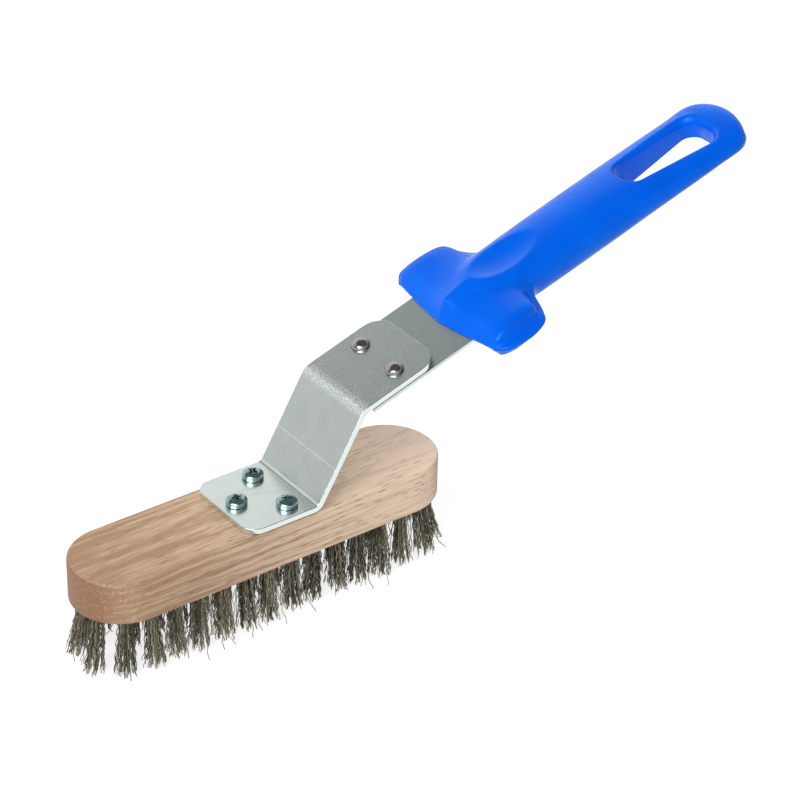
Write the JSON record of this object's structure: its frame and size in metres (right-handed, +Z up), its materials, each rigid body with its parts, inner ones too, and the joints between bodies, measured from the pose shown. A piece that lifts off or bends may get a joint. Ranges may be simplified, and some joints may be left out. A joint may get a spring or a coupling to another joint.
{
  "type": "grill brush",
  "caption": "Grill brush: crimped wire tufts in a round-ended wooden block, joined by a bent metal bracket and a flat blade to a moulded handle with a hang slot.",
  "frame": {"origin": "bottom centre of the whole brush: the middle of its box in X and Y, on the plane of the wire tips that it stands on", "axes": "+X runs along the block toward the handle's end, +Y runs across the block to the left wing of the guard as seen from the block's free end looking at the handle from above, +Z is up; the brush is symmetric about the XZ plane"},
  "size_m": [0.3241, 0.0752, 0.1497],
  "materials": {
    "beech": "bare planed beech, matt",
    "satin_aluminium": "mill finish, lightly scratched",
    "blade_steel": "plain rolled, satin",
    "blue_plastic": "smooth moulded, satin gloss",
    "zinc_plate": "bright zinc plated",
    "bright_rivet": "bright nickel",
    "crimped_wire": "crimped, tempered dark"
  },
  "bodies": {
    "root": {"beech_block": "beech", "bent_bracket": "satin_aluminium", "steel_blade": "blade_steel", "handle": "blue_plastic", "screw_left": "zinc_plate", "screw_right": "zinc_plate", "screw_front": "zinc_plate", "rivet_left": "bright_rivet", "rivet_right": "bright_rivet", "ring_tuft_01": "crimped_wire", "ring_tuft_02": "crimped_wire", "ring_tuft_03": "crimped_wire", "ring_tuft_04": "crimped_wire", "ring_tuft_05": "crimped_wire", "ring_tuft_06": "crimped_wire", "ring_tuft_07": "crimped_wire", "ring_tuft_08": "crimped_wire", "ring_tuft_09": "crimped_wire", "ring_tuft_10": "crimped_wire", "ring_tuft_11": "crimped_wire", "ring_tuft_12": "crimped_wire", "ring_tuft_13": "crimped_wire", "ring_tuft_14": "crimped_wire", "ring_tuft_15": "crimped_wire", "ring_tuft_16": "crimped_wire", "ring_tuft_17": "crimped_wire", "ring_tuft_18": "crimped_wire", "ring_tuft_19": "crimped_wire", "ring_tuft_20": "crimped_wire", "ring_tuft_21": "crimped_wire", "ring_tuft_22": "crimped_wire", "ring_tuft_23": "crimped_wire", "ring_tuft_24": "crimped_wire", "ring_tuft_25": "crimped_wire", "ring_tuft_26": "crimped_wire", "ring_tuft_27": "crimped_wire", "ring_tuft_28": "crimped_wire", "ring_tuft_29": "crimped_wire", "ring_tuft_30": "crimped_wire", "ring_tuft_31": "crimped_wire", "ring_tuft_32": "crimped_wire", "middle_tuft_01": "crimped_wire", "middle_tuft_02": "crimped_wire", "middle_tuft_03": "crimped_wire", "middle_tuft_04": "crimped_wire", "middle_tuft_05": "crimped_wire", "middle_tuft_06": "crimped_wire", "middle_tuft_07": "crimped_wire", "middle_tuft_08": "crimped_wire", "middle_tuft_09": "crimped_wire", "middle_tuft_10": "crimped_wire", "middle_tuft_11": "crimped_wire", "middle_tuft_12": "crimped_wire"}
  },
  "joints": []
}
